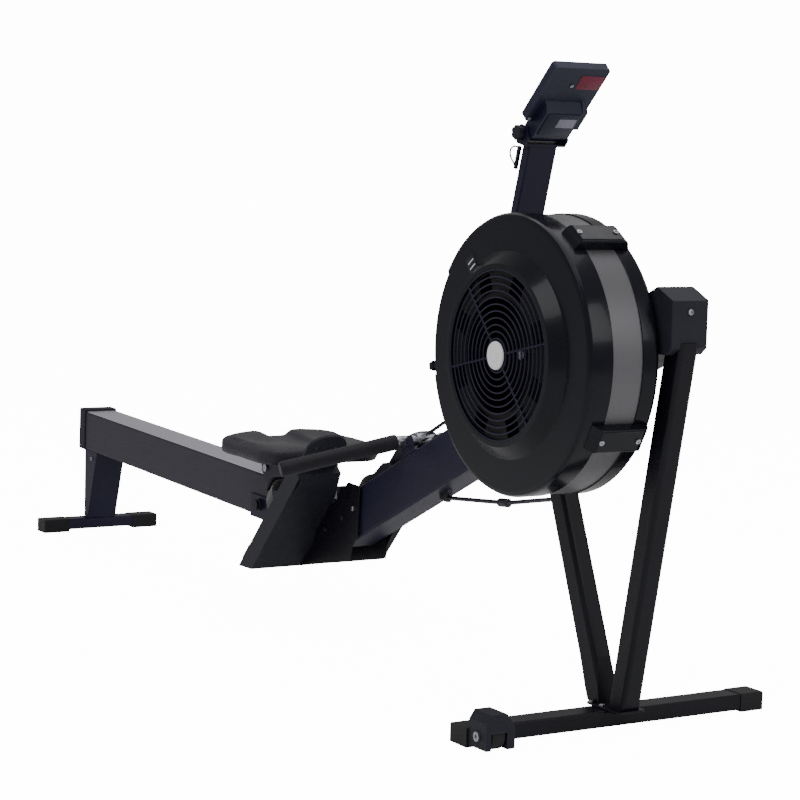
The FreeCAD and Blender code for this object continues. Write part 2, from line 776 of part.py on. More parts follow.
def monitor_bezel():
    shape = block(34, 160, -57, 57, 6, 10)
    shape = rounded(shape, V(0, 0, 1), 6)
    window = block(screen_low - 4, screen_high + 4, -46, 46, 5, 11)
    shape = shape.cut(window)
    for y in button_ys:
        shape = shape.cut(rod(7.3, V(button_along, y, 5), V(button_along, y, 11)))
    return on_screen(shape)


def monitor_screen():
    return on_screen(block(screen_low - 4, screen_high + 4, -46, 46, 6, 9))


def monitor_button(y):
    cap = rod(7, V(button_along, y, 8.0), V(button_along, y, 12.0))
    top = [edge for edge in cap.Edges if edge.Curve.TypeId == "Part::GeomCircle"
           and edge.CenterOfMass.z > 11]
    return on_screen(cap.makeFillet(1, top))


# seat

seat_along = seat_x - rail_start.x
roller_radius = 16.0
roller_reach = 62.0


def seat_pad():
    # padded seat: flat underneath, two raised lobes and a notch at the front
    half_x, half_y = 122.0, 144.0
    base = block(seat_along - half_x, seat_along + half_x, -half_y, half_y, 50, 70)
    base = rounded(base, V(0, 0, 1), 55)
    lobes = []
    for side in (-1, 1):
        low, high = sorted((side * 26, side * half_y))
        lobe = block(seat_along - half_x, seat_along + half_x, low, high, 60, 83)
        lobe = rounded(lobe, V(1, 0, 0), 20, lambda p: p.z > 80)
        lobes.append(lobe.common(rounded(block(seat_along - half_x, seat_along + half_x, -half_y,
                                               half_y, 40, 110), V(0, 0, 1), 55)))
    notch = rod(26, V(seat_along + half_x + 6, 0, 40), V(seat_along + half_x + 6, 0, 110))
    return on_rail(join([base] + lobes).cut(notch))


def seat_carriage():
    # folded steel carriage: a deck under the pad and two skirts beside the rail
    deck = block(seat_along - 88, seat_along + 88, -44, 44, 46, 50)
    skirts = []
    for y in (-44, 41):
        outline = [(seat_along - 88, 46), (seat_along + 88, 46), (seat_along + 80, 8),
                   (seat_along + 40, -34), (seat_along - 40, -34), (seat_along - 80, 8)]
        skirts.append(plate(outline, y, y + 3))
    ribs = [block(seat_along - 84, seat_along + 84, y, y + 3, 36, 46) for y in (-36, 33)]
    shape = join([deck] + skirts + ribs)
    for reach in (-roller_reach, roller_reach):
        x = seat_along + reach
        shape = shape.cut(rod(5, V(x, -60, roller_radius), V(x, 60, roller_radius)))
    return on_rail(shape)


def seat_axles():
    solids = []
    for reach in (-roller_reach, roller_reach):
        x = seat_along + reach
        pin = rod(5, V(x, -44, roller_radius), V(x, 44, roller_radius))
        nuts = [rod(8, V(x, y, roller_radius), V(x, y + 4, roller_radius)) for y in (-48, 44)]
        solids.append(on_rail(join([pin] + nuts)))
    return Part.makeCompound(solids)


def seat_rollers(reach):
    x = seat_along + reach
    centre = V(x, 0, roller_radius)
    solids = []
    for y in (-32, 14):
        wheel = rod(roller_radius - 0.05, centre + V(0, y, 0), centre + V(0, y + 18, 0))
        rims = [edge for edge in wheel.Edges if edge.Curve.TypeId == "Part::GeomCircle"]
        wheel = wheel.makeFillet(2, rims)
        solids.append(on_rail(wheel.cut(rod(5.06, centre + V(0, -60, 0), centre + V(0, 60, 0)))))
    return Part.makeCompound(solids)


# fasteners

def frame_bolts():
    # identical domed bolts: base plate, leg, joint plates and the cap
    def bolt(place, way):
        head = rod(5, place, place + way * 3.5)
        crown = [edge for edge in head.Edges if edge.Curve.TypeId == "Part::GeomCircle"
                 and (edge.CenterOfMass - place).Length > 2]
        head = head.makeFillet(1.5, crown)
        return head.cut(rod(2.4, place + way * 1.5, place + way * 5))

    solids = []
    for x in (973, 1003):
        for y in (-24.2, 24.2):
            solids.append(bolt(V(x, y, 44), V(0, 0, 1)))
    for x, z in ((191, 257), (150, 232), (84, 200)):
        for side in (-1, 1):
            solids.append(bolt(V(x, side * (rail_half + 3), z), V(0, side, 0)))
    for side in (-1, 1):
        solids.append(bolt(V(-1096, side * (rail_half - 2), 190), V(0, side, 0)))
    solids.append(bolt(V(end_x, -1, 712), V(1, 0, 0)))
    return Part.makeCompound(solids + clip_screws() + [wheel_axle(), arm_pivot_bolt()])


nodes = {
    "main_beam": main_beam(),
    "beam_front_cap": beam_front_cap(),
    "leg_front": leg_front(),
    "leg_rear": leg_rear(),
    "leg_base_plate": leg_base_plate(),
    "leg_stay": leg_stay(),
    "front_foot_bar": front_foot_bar(),
    "foot_end_caps": foot_end_caps(),
    "wheel_cover": wheel_cover(),
    "transport_wheel": transport_wheel(),
    "monorail": monorail(),
    "rail_track": rail_track(),
    "rail_end_cap": rail_end_cap(),
    "rear_leg": rear_leg(),
    "rear_foot_bar": rear_foot_bar(),
    "joint_plates": joint_plates(),
    "frame_lock_bracket": frame_lock_bracket(),
    "lock_pin": lock_pin(),
    "footboard_near": footboard(-1),
    "footboard_far": footboard(1),
    "footrest_bridge": footrest_bridge(),
    "toe_plate_near": toe_plate(-1),
    "toe_plate_far": toe_plate(1),
    "foot_straps": foot_straps(),
    "chain_guide": chain_guide(),
    "handle_hook": handle_hook(),
    "handle_bar": handle_bar(),
    "handle_grips": handle_grips(),
    "handle_swivel": handle_swivel(),
    "chain_run": chain_run(),
    "chain_feed": chain_feed(),
    "chain_sprocket": chain_sprocket(),
    "return_pulley": return_pulley(),
    "shock_cord": shock_cord(),
    "shell_near": shell_near(),
    "grille": grille(),
    "hub_badge": hub_badge(),
    "perforated_band": perforated_band(),
    "shell_far": shell_far(),
    "shell_clips": shell_clips(),
    "damper_ring": damper_ring(),
    "flywheel_fan": flywheel_fan(),
    "flywheel_axle": flywheel_axle(),
    "axle_bearings": axle_bearings(),
    "arm_yoke": arm_yoke(),
    "monitor_arm": monitor_arm(),
    "monitor_bracket": monitor_bracket(),
    "monitor_knob": monitor_knob(),
    "monitor_case": monitor_case(),
    "monitor_bezel": monitor_bezel(),
    "monitor_screen": monitor_screen(),
    "seat_pad": seat_pad(),
    "seat_carriage": seat_carriage(),
    "seat_axles": seat_axles(),
    "seat_rollers_front": seat_rollers(roller_reach),
    "seat_rollers_rear": seat_rollers(-roller_reach),
    "frame_bolts": frame_bolts(),
}
for index, y in enumerate(button_ys):
    nodes["monitor_button_%d" % (index + 1)] = monitor_button(y)

for name, shape in nodes.items():
    shape.translate(V(0, 0, -datum_depth))
    box = shape.BoundBox
    state = "ok" if shape.isValid() else "INVALID"
    print(name, state, len(shape.Solids), "%.0f..%.0f %.0f..%.0f %.0f..%.0f" % (
        box.XMin, box.XMax, box.YMin, box.YMax, box.ZMin, box.ZMax), round(shape.Volume))
    shape.exportStep("parts/%s.step" % name)
print(len(nodes), "nodes")
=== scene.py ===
import json
import math

import bpy
from mathutils import Matrix, Vector

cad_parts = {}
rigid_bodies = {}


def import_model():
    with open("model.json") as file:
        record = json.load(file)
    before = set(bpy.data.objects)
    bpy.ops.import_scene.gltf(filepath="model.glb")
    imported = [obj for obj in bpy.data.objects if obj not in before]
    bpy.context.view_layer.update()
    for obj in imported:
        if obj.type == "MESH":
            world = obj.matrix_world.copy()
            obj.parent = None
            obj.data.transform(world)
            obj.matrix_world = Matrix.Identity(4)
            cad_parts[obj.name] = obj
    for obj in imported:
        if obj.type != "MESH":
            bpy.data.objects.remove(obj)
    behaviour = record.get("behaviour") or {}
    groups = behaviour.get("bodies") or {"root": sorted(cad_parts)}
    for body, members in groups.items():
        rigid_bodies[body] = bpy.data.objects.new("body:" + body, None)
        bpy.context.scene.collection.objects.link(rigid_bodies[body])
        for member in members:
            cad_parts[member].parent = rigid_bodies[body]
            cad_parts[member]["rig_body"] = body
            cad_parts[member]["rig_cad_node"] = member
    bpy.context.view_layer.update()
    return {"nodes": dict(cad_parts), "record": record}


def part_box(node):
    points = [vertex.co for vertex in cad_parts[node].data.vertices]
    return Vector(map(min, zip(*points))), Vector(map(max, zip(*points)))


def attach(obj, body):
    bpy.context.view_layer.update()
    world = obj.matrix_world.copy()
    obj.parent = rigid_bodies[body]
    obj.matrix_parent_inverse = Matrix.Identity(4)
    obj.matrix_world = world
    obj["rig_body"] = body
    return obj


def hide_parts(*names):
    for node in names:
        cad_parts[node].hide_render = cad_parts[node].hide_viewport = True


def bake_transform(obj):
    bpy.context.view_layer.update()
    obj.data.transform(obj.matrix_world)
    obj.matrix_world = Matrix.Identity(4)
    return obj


# Looks of an air rowing machine. Metres, +X from the seat to the flywheel, +Z up.

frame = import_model()
record = frame["record"]
nodeSlot = {part["node"]: part["material_slot"] for part in record["subparts"]}
nodeBody = {node: body for body, nodes in record["behaviour"]["bodies"].items() for node in nodes}
print("frame loaded:", len(frame["nodes"]), "nodes")


# Small tools

def deselectAll():
    if bpy.context.object and bpy.context.object.mode != "OBJECT":
        bpy.ops.object.mode_set(mode="OBJECT")
    bpy.ops.object.select_all(action="DESELECT")


def pick(piece):
    deselectAll()
    piece.select_set(True)
    bpy.context.view_layer.objects.active = piece
    return piece


def editAll(piece, mode="FACE"):
    pick(piece)
    bpy.ops.object.mode_set(mode="EDIT")
    bpy.ops.mesh.select_mode(type=mode)
    bpy.ops.mesh.select_all(action="SELECT")


def chooseFaces(piece, test):
    # picks faces by their place or normal and stays in edit mode
    editAll(piece)
    bpy.ops.mesh.select_all(action="DESELECT")
    bpy.ops.object.mode_set(mode="OBJECT")
    for face in piece.data.polygons:
        face.select = test(face)
    bpy.ops.object.mode_set(mode="EDIT")


def chooseEdges(piece, test):
    # picks edges by the two points they join
    editAll(piece, "EDGE")
    bpy.ops.mesh.select_all(action="DESELECT")
    bpy.ops.object.mode_set(mode="OBJECT")
    points = piece.data.vertices
    for edge in piece.data.edges:
        edge.select = test(points[edge.vertices[0]].co, points[edge.vertices[1]].co)
    bpy.ops.object.mode_set(mode="EDIT")


def addModifier(piece, kind, **settings):
    pick(piece)
    modifier = piece.modifiers.new(kind.title(), kind)
    for key, value in settings.items():
        setattr(modifier, key, value)
    bpy.ops.object.modifier_apply(modifier=modifier.name)


def softEdges(piece, width, segments=2, angle=30):
    addModifier(piece, "BEVEL", width=width, segments=segments, limit_method="ANGLE",
                angle_limit=math.radians(angle), use_clamp_overlap=True)
    smooth(piece, angle)


def smooth(piece, angle=35):
    pick(piece)
    bpy.ops.object.shade_smooth_by_angle(angle=math.radians(angle))


def finishMesh(piece):
    # closes doubles, turns faces outwards and puts the object at the origin
    pick(piece)
    bpy.ops.object.transform_apply(location=True, rotation=True, scale=True)
    editAll(piece)
    bpy.ops.mesh.remove_doubles(threshold=0.00001)
    bpy.ops.mesh.normals_make_consistent(inside=False)
    bpy.ops.object.mode_set(mode="OBJECT")


def joinPieces(pieces):
    deselectAll()
    for piece in pieces:
        piece.select_set(True)
    bpy.context.view_layer.objects.active = pieces[0]
    if len(pieces) > 1:
        bpy.ops.object.join()
    return bpy.context.object


def settle(piece, name, finish, body, slot, *nodes):
    # names a finished piece, gives it its finish and hangs it on its body
    piece.name = name
    piece.data.name = name
    piece.data.materials.clear()
    piece.data.materials.append(finish)
    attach(piece, body)
    if nodes:
        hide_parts(*nodes)
    return piece


def copyOf(piece):
    pick(piece)
    bpy.ops.object.duplicate()
    return bpy.context.object


def slopeMatrix(origin, degrees):
    # a level drawing raised along +X by some degrees and moved to its origin
    return Matrix.Translation(origin) @ Matrix.Rotation(-math.radians(degrees), 4, "Y")


def place(piece, matrix):
    piece.matrix_world = matrix @ piece.matrix_world
    pick(piece)
    bpy.ops.object.transform_apply(location=True, rotation=True, scale=True)
    return piece


def newCube(low, high):
    deselectAll()
    bpy.ops.mesh.primitive_cube_add(size=1, location=(Vector(low) + Vector(high)) / 2)
    cube = bpy.context.object
    cube.scale = Vector(high) - Vector(low)
    bpy.ops.object.transform_apply(location=True, rotation=True, scale=True)
    return cube


def newRod(radius, start, end, sides=32):
    deselectAll()
    start, end = Vector(start), Vector(end)
    turn = (end - start).to_track_quat("Z", "Y").to_euler()
    bpy.ops.mesh.primitive_cylinder_add(vertices=sides, radius=radius, depth=(end - start).length,
                                        location=(start + end) / 2, rotation=turn)
    bpy.ops.object.transform_apply(location=True, rotation=True, scale=True)
    return bpy.context.object


def drawLine(points):
    # a chain of edges drawn by extruding one point along the line
    deselectAll()
    points = [Vector(point) for point in points]
    bpy.ops.mesh.primitive_plane_add(size=0.01)
    piece = bpy.context.object
    editAll(piece, "VERT")
    bpy.ops.mesh.merge(type="CENTER")
    bpy.ops.transform.translate(value=points[0])
    for here, there in zip(points, points[1:]):
        bpy.ops.mesh.extrude_vertices_move(TRANSFORM_OT_translate={"value": there - here})
    return piece


def lathe(profile, centre, steps=120):
    # a closed outline of (radius, y) in millimetres, spun about a line along Y
    cx, cz = centre
    piece = drawLine([(cx + r / 1000, y / 1000, cz) for r, y in profile + profile[:1]])
    bpy.ops.mesh.select_all(action="SELECT")
    bpy.ops.mesh.remove_doubles(threshold=0.000001)
    bpy.ops.mesh.spin(steps=steps, angle=math.tau, center=(cx, 0, cz), axis=(0, 1, 0))
    finishMesh(piece)
    return piece


def newTube(points, radius, sides=12, closed=False):
    # a round tube along a smooth line, from a curve made into a mesh
    curve = bpy.data.curves.new("line", "CURVE")
    curve.dimensions = "3D"
    curve.bevel_depth = radius
    curve.bevel_resolution = max(1, sides // 4 - 1)
    curve.use_fill_caps = not closed
    line = curve.splines.new("NURBS")
    line.points.add(len(points) - 1)
    for point, spot in zip(line.points, points):
        point.co = (*spot, 1)
    line.order_u = 3
    line.use_endpoint_u = not closed
    line.use_cyclic_u = closed
    tube = bpy.data.objects.new("line", curve)
    bpy.context.scene.collection.objects.link(tube)
    pick(tube)
    bpy.ops.object.convert(target="MESH")
    piece = bpy.context.object
    finishMesh(piece)
    smooth(piece, 50)
    return piece


def softCopy(node, name, finish, width=0.0, angle=30, reshape=None):
    # a merged copy of a CAD node with its edges eased and its curves smooth
    piece = copyOf(frame["nodes"][node])
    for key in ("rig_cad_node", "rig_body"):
        del piece[key]
    piece.parent = None
    piece.matrix_world = Matrix.Identity(4)
    editAll(piece)
    bpy.ops.mesh.remove_doubles(threshold=0.00002)
    bpy.ops.mesh.dissolve_limited(angle_limit=math.radians(0.6))
    bpy.ops.object.mode_set(mode="OBJECT")
    if reshape:
        reshape(piece)
    if width:
        addModifier(piece, "BEVEL", width=width, segments=2, limit_method="ANGLE",
                    angle_limit=math.radians(angle), use_clamp_overlap=True)
    smooth(piece, angle + 2)
    addModifier(piece, "WEIGHTED_NORMAL", keep_sharp=True, weight=80)
    return settle(piece, name, finish, nodeBody[node], nodeSlot[node], node)


# Materials

def hexColour(code):
    parts = [int(code[i:i + 2], 16) / 255 for i in (1, 3, 5)]
    return (*[c / 12.92 if c <= 0.04045 else ((c + 0.055) / 1.055) ** 2.4 for c in parts], 1)


def addNode(tree, kind, settings=None, links=None, feeds=()):
    # settings go to the sockets of that name or number, then to the node; stops fill a ramp
    node = tree.nodes.new(kind)
    for key, value in (settings or {}).items():
        if key == "stops":
            for index, (spot, code) in enumerate(value):
                ramp = node.color_ramp.elements
                stop = ramp[index] if index < 2 else ramp.new(spot)
                stop.position, stop.color = spot, hexColour(code)
        elif isinstance(key, int) or key in node.inputs:
            node.inputs[key].default_value = value
        else:
            setattr(node, key, value)
    for key, source in (links or {}).items():
        tree.links.new(source, node.inputs[key])
    for socket in feeds:
        tree.links.new(node.outputs[0], socket)
    return node


def startMaterial(name, **sockets):
    material = bpy.data.materials.new(name)
    material.use_nodes = True
    tree = material.node_tree
    tree.nodes.clear()
    shader = addNode(tree, "ShaderNodeBsdfPrincipled",
                     {key.replace("_", " "): value for key, value in sockets.items()})
    output = addNode(tree, "ShaderNodeOutputMaterial")
    tree.links.new(shader.outputs["BSDF"], output.inputs["Surface"])
    coords = addNode(tree, "ShaderNodeTexCoord")
    return material, tree, shader, coords.outputs["Object"]


def cloudyColour(tree, shader, where, scale, codes, rough, edge=None, rub=0.35):
    # slow drift of colour and roughness, and rims rubbed lighter in broken patches
    cloud = addNode(tree, "ShaderNodeTexNoise", {"Scale": scale, "Detail": 5.0},
                    {"Vector": where})
    base = addNode(tree, "ShaderNodeValToRGB", {"stops": [(0.3, codes[0]), (0.7, codes[1])]},
                   {"Fac": cloud.outputs["Fac"]})
    addNode(tree, "ShaderNodeMapRange", {"To Min": rough[0], "To Max": rough[1]},
            {"Value": cloud.outputs["Fac"]}, [shader.inputs["Roughness"]])
    if edge is None:
        tree.links.new(base.outputs["Color"], shader.inputs["Base Color"])
        return cloud.outputs["Fac"], base.outputs["Color"]
    eased = addNode(tree, "ShaderNodeBevel", {"Radius": 0.002, "samples": 4})
    geometry = addNode(tree, "ShaderNodeNewGeometry")
    facing = addNode(tree, "ShaderNodeVectorMath", {"operation": "DOT_PRODUCT"},
                     {0: eased.outputs["Normal"], 1: geometry.outputs["Normal"]})
    rim = addNode(tree, "ShaderNodeMapRange", {"From Min": 0.985, "From Max": 0.9, "To Max": rub},
                  {"Value": facing.outputs["Value"]})
    patchy = addNode(tree, "ShaderNodeTexNoise", {"Scale": 60.0, "Detail": 4.0}, {"Vector": where})
    worn = addNode(tree, "ShaderNodeMath", {"operation": "MULTIPLY", "use_clamp": True},
                   {0: rim.outputs["Result"], 1: patchy.outputs["Fac"]})
    mix = addNode(tree, "ShaderNodeMix", {"data_type": "RGBA", 7: hexColour(edge)},
                  {0: worn.outputs[0], 6: base.outputs["Color"]})
    tree.links.new(mix.outputs[2], shader.inputs["Base Color"])
    return cloud.outputs["Fac"], mix.outputs[2]


def powderCoat(name, codes, rough, edge="#4A4858"):
    # polyester powder baked on steel: satin, with a fine orange peel about 1.5 mm across
    material, tree, shader, where = startMaterial(name, IOR=1.5, Specular_IOR_Level=0.2)
    cloudyColour(tree, shader, where, 9.0, codes, (rough - 0.05, rough + 0.08), edge)
    peel = addNode(tree, "ShaderNodeTexNoise", {"Scale": 650.0, "Detail": 2.0}, {"Vector": where})
    addNode(tree, "ShaderNodeBump", {"Strength": 0.25, "Distance": 0.0003},
            {"Height": peel.outputs["Fac"]}, [shader.inputs["Normal"]])
    return material


def mouldedPlastic(name, codes, rough, grain=900.0, depth=0.35, edge="#45454F"):
    # spark-eroded mould grain about 1 mm across; it breaks up the highlights
    material, tree, shader, where = startMaterial(name, IOR=1.5, Specular_IOR_Level=0.18)
    cloudyColour(tree, shader, where, 14.0, codes, (rough - 0.06, rough + 0.1), edge)
    pits = addNode(tree, "ShaderNodeTexVoronoi", {"Scale": grain, "feature": "SMOOTH_F1"},
                   {"Vector": where})
    addNode(tree, "ShaderNodeBump", {"Strength": depth, "Distance": 0.0003},
            {"Height": pits.outputs["Distance"]}, [shader.inputs["Normal"]])
    return material


def glossyAbs(name, codes, rough):
    # ABS from a polished mould: deep gloss with faint flow ripple and fine scuffs
    material, tree, shader, where = startMaterial(name, IOR=1.54, Coat_Weight=0.12,
                                                  Coat_Roughness=0.08, Specular_IOR_Level=0.12)
    ripple, _ = cloudyColour(tree, shader, where, 5.0, codes, (rough - 0.05, rough + 0.08),
                             "#242636")
    scuff = addNode(tree, "ShaderNodeTexNoise", {"Scale": 30.0, "Detail": 8.0, "Roughness": 0.7},
                    {"Vector": where})
    addNode(tree, "ShaderNodeMapRange", {"To Min": rough - 0.08, "To Max": rough + 0.12},
            {"Value": scuff.outputs["Fac"]}, [shader.inputs["Roughness"]])
    addNode(tree, "ShaderNodeBump", {"Strength": 0.06, "Distance": 0.002}, {"Height": ripple},
            [shader.inputs["Normal"]])
    return material


def brushedSteel(name, codes, rough):
    # long fine scratches along the rail from belt finishing
    material, tree, shader, where = startMaterial(name, Metallic=1.0)
    lay = addNode(tree, "ShaderNodeMapping", {"Scale": (3.0, 260.0, 260.0)}, {"Vector": where})
    hair = addNode(tree, "ShaderNodeTexNoise", {"Scale": 3.0, "Detail": 8.0, "Roughness": 0.65},
                   {"Vector": lay.outputs["Vector"]})
    addNode(tree, "ShaderNodeValToRGB", {"stops": [(0.25, codes[0]), (0.75, codes[1])]},
            {"Fac": hair.outputs["Fac"]}, [shader.inputs["Base Color"]])
    addNode(tree, "ShaderNodeMapRange", {"To Min": rough - 0.08, "To Max": rough + 0.12},
            {"Value": hair.outputs["Fac"]}, [shader.inputs["Roughness"]])
    addNode(tree, "ShaderNodeBump", {"Strength": 0.12, "Distance": 0.0002},
            {"Height": hair.outputs["Fac"]}, [shader.inputs["Normal"]])
    return material


def turnedSteel(name, codes, rough):
    # zinc plated turned parts: bright, a little cloudy, finely pitted
    material, tree, shader, where = startMaterial(name, Metallic=1.0)
    cloudyColour(tree, shader, where, 90.0, codes, (rough - 0.08, rough + 0.12))
    pits = addNode(tree, "ShaderNodeTexNoise", {"Scale": 900.0, "Detail": 2.0}, {"Vector": where})
    addNode(tree, "ShaderNodeBump", {"Strength": 0.1, "Distance": 0.0002},
            {"Height": pits.outputs["Fac"]}, [shader.inputs["Normal"]])
    return material


def rubber(name, codes, rough):
    # moulded rubber: matt, dusty in the hollows, with a soft sheen at grazing angles
    material, tree, shader, where = startMaterial(name, IOR=1.52, Sheen_Weight=0.06,
                                                  Sheen_Roughness=0.6, Specular_IOR_Level=0.2)
    cloudyColour(tree, shader, where, 35.0, codes, (rough - 0.08, rough + 0.08), "#4C4C54", 0.4)
    grain = addNode(tree, "ShaderNodeTexNoise", {"Scale": 1400.0, "Detail": 3.0},
                    {"Vector": where})
    addNode(tree, "ShaderNodeBump", {"Strength": 0.3, "Distance": 0.0003},
            {"Height": grain.outputs["Fac"]}, [shader.inputs["Normal"]])
    return material


def grainedVinyl(name, codes):
    # PVC skin over foam: pebble grain about 2 mm across, with painted shade darkening the creases
    # between pebbles
    material, tree, shader, where = startMaterial(name, IOR=1.5, Sheen_Weight=0.06,
                                                  Sheen_Roughness=0.5, Specular_IOR_Level=0.35)
    _, colour = cloudyColour(tree, shader, where, 18.0, codes, (0.42, 0.56))
    pebbles = addNode(tree, "ShaderNodeTexVoronoi",
                      {"Scale": 520.0, "feature": "DISTANCE_TO_EDGE"}, {"Vector": where})
    crease = addNode(tree, "ShaderNodeMapRange", {"From Max": 0.25},
                     {"Value": pebbles.outputs["Distance"]})
    # painted shade: the creases are darkened in the colour, multiplied in below
    shade = addNode(tree, "ShaderNodeValToRGB", {"stops": [(0.0, "#8A8A8A"), (0.6, "#FFFFFF")]},
                    {"Fac": crease.outputs["Result"]})
    dark = addNode(tree, "ShaderNodeMix", {"data_type": "RGBA", "blend_type": "MULTIPLY", 0: 0.5},
                   {6: colour, 7: shade.outputs["Color"]})
    tree.links.new(dark.outputs[2], shader.inputs["Base Color"])
    addNode(tree, "ShaderNodeBump", {"Strength": 0.35, "Distance": 0.0005},
            {"Height": crease.outputs["Result"]}, [shader.inputs["Normal"]])
    return material


def webbing(name, codes):
    # woven polyester with diagonal ribs
    material, tree, shader, where = startMaterial(name, Sheen_Weight=0.3, Sheen_Roughness=0.4,
                                                  Roughness=0.85)
    lay = addNode(tree, "ShaderNodeMapping", {"Rotation": (0.0, 0.0, 0.7)}, {"Vector": where})
    ribs = addNode(tree, "ShaderNodeTexWave", {"Scale": 100.0, "Distortion": 0.6},
                   {"Vector": lay.outputs["Vector"]})
    threads = addNode(tree, "ShaderNodeTexNoise", {"Scale": 700.0, "Detail": 3.0},
                      {"Vector": where})
    addNode(tree, "ShaderNodeValToRGB", {"stops": [(0.1, codes[0]), (0.9, codes[1])]},
            {"Fac": ribs.outputs["Fac"]}, [shader.inputs["Base Color"]])
    both = addNode(tree, "ShaderNodeMath", {"operation": "ADD"},
                   {0: ribs.outputs["Fac"], 1: threads.outputs["Fac"]})
    addNode(tree, "ShaderNodeBump", {"Strength": 0.6, "Distance": 0.0006},
            {"Height": both.outputs[0]}, [shader.inputs["Normal"]])
    return material


def perforatedSheet(name):
    # thin stainless meant to show rows of small round holes, painted a darker grey as painted shade
    # of the inside seen through them. They do not show yet: the layer named here is the empty one,
    # see makeBand, so the band is one flat grey
    material, tree, shader, where = startMaterial(name, Metallic=0.35)
    _, steel = cloudyColour(tree, shader, where, 7.0, ("#8E8C90", "#AAA8AC"), (0.36, 0.5))
    around = addNode(tree, "ShaderNodeUVMap", {"uv_map": "UVMap"})
    parts = addNode(tree, "ShaderNodeSeparateXYZ", None, {"Vector": around.outputs["UV"]})
    waves = []
    for axis, pitch in (("X", 0.0034), ("Y", 0.0046)):
        turns = addNode(tree, "ShaderNodeMath", {"operation": "MULTIPLY", 1: math.tau / pitch},
                        {0: parts.outputs[axis]})
        waves.append(addNode(tree, "ShaderNodeMath", {"operation": "COSINE"},
                             {0: turns.outputs[0]}))
    both = addNode(tree, "ShaderNodeMath", {"operation": "ADD"},
                   {0: waves[0].outputs[0], 1: waves[1].outputs[0]})
    hole = addNode(tree, "ShaderNodeMapRange", {"From Min": 0.5, "From Max": 1.1},
                   {"Value": both.outputs[0]})
    # the holes get a darker grey: painted shade of the inside seen through them
    mix = addNode(tree, "ShaderNodeMix", {"data_type": "RGBA", 7: hexColour("#5F5E62")},
                  {0: hole.outputs["Result"], 6: steel})
    tree.links.new(mix.outputs[2], shader.inputs["Base Color"])
    sunk = addNode(tree, "ShaderNodeMath", {"operation": "SUBTRACT", 0: 1.0},
                   {1: hole.outputs["Result"]})
    addNode(tree, "ShaderNodeBump", {"Strength": 0.5, "Distance": 0.0005},
            {"Height": sunk.outputs[0]}, [shader.inputs["Normal"]])
    return material


def lcdGlass(name):
    # grey-green reflective display under a clear acrylic window
    material, tree, shader, where = startMaterial(name, IOR=1.49, Coat_Weight=1.0,
                                                  Coat_Roughness=0.03)
    cloudyColour(tree, shader, where, 30.0, ("#5C665A", "#687264"), (0.2, 0.3))
    return material


finishes = {
    "frame_black": powderCoat("frame powder coat", ("#16152A", "#1D1B32"), 0.42),
    "leg_black": powderCoat("leg powder coat", ("#0D0C14", "#12111A"), 0.4),
    "rail_grey": powderCoat("rail powder coat", ("#2A2733", "#332F3C"), 0.44, "#4C4858"),
    "rail_steel": brushedSteel("running strip stainless", ("#BDBBC6", "#DAD8E2"), 0.34),
    "plastic_black": mouldedPlastic("moulded nylon", ("#1E1E27", "#26262F"), 0.5),
    "cage_gloss": glossyAbs("cage gloss ABS", ("#0A0A12", "#0F1019"), 0.2),
    "band_metal": perforatedSheet("perforated band steel"),
    "badge_white": glossyAbs("badge white ABS", ("#E0DEDF", "#ECEAEA"), 0.3),
    "rubber_black": rubber("foot cap rubber", ("#0E0E12", "#141418"), 0.62),
    "steel_plain": turnedSteel("zinc plated steel", ("#8E8E96", "#B4B4BA"), 0.34),
    "chain_steel": turnedSteel("oiled chain steel", ("#35333A", "#55535A"), 0.38),
    "cord_black": webbing("braided cord", ("#0E0E12", "#24242A")),
    "seat_vinyl": grainedVinyl("seat vinyl", ("#1C1A24", "#272530")),
    "grip_foam": rubber("grip foam", ("#14131A", "#1C1B24"), 0.6),
    "strap_web": webbing("strap webbing", ("#0E0E12", "#1E1E24")),
    "case_plastic": mouldedPlastic("monitor ABS", ("#1C1E30", "#25273A"), 0.34, 1400.0, 0.15,
                                   "#6A6D84"),
    "screen_glass": lcdGlass("display window"),
    "button_grey": rubber("button silicone", ("#60626E", "#70727E"), 0.5),
    "wheel_rubber": rubber("wheel polyurethane", ("#101013", "#17171B"), 0.5),
    "roller_nylon": mouldedPlastic("roller acetal", ("#CFCDC6", "#DEDCD6"), 0.34, 1500.0, 0.1,
                                   "#F0EFEA"),
    # near-black, darker than the fan's grey: painted shade of the inside of the cage
    "fan_grey": powderCoat("fan paint with painted shade", ("#08080B", "#0E0E12"), 0.55),
}
labelRed = mouldedPlastic("plain red film", ("#6A2438", "#7A2C40"), 0.4, 1500.0, 0.1, "#A05060")
labelGrey = mouldedPlastic("plain grey film", ("#7A7888", "#8A8898"), 0.4, 1500.0, 0.1, "#9A98A8")
scaleWhite = mouldedPlastic("printed white ink", ("#C8C8CC", "#DADADE"), 0.5, 1500.0, 0.1,
                            "#E4E4E8")
segmentInk = mouldedPlastic("display segments", ("#1E241E", "#252B25"), 0.4, 1500.0, 0.1,
                            "#2A302A")
print("materials made:", len(bpy.data.materials))

for node, piece in frame["nodes"].items():
    piece.data.materials.clear()
    piece.data.materials.append(finishes[nodeSlot[node]])


# Places the pieces share

places = {
    "axle": (0.914, 0.616),
    "railStart": Vector((-1.1378, 0, 0.29385)), "railSlope": -1.72,
    "boardHeel": Vector((-0.072, 0, 0.099)), "boardSlope": 47.6,
    "armPivot": Vector((0.620, 0, 0.564)), "armLean": 15.7,
    "tiltPivot": Vector((0.735, 0, 0.981)), "screenSlope": 44.7,
}
onRail = slopeMatrix(places["railStart"], places["railSlope"])
onBoard = slopeMatrix(places["boardHeel"], places["boardSlope"])
onArm = slopeMatrix(places["armPivot"], -places["armLean"])
onScreen = slopeMatrix(places["tiltPivot"], places["screenSlope"])


# Frame, legs and covers: eased copies of the CAD nodes

boardFold = {"upper": ((0.270, 0.115), (0.150, 0.042)), "lower": ((0.208, 0.149), (0.120, 0.042)),
             "skin": -0.0355, "rise": 0.009}


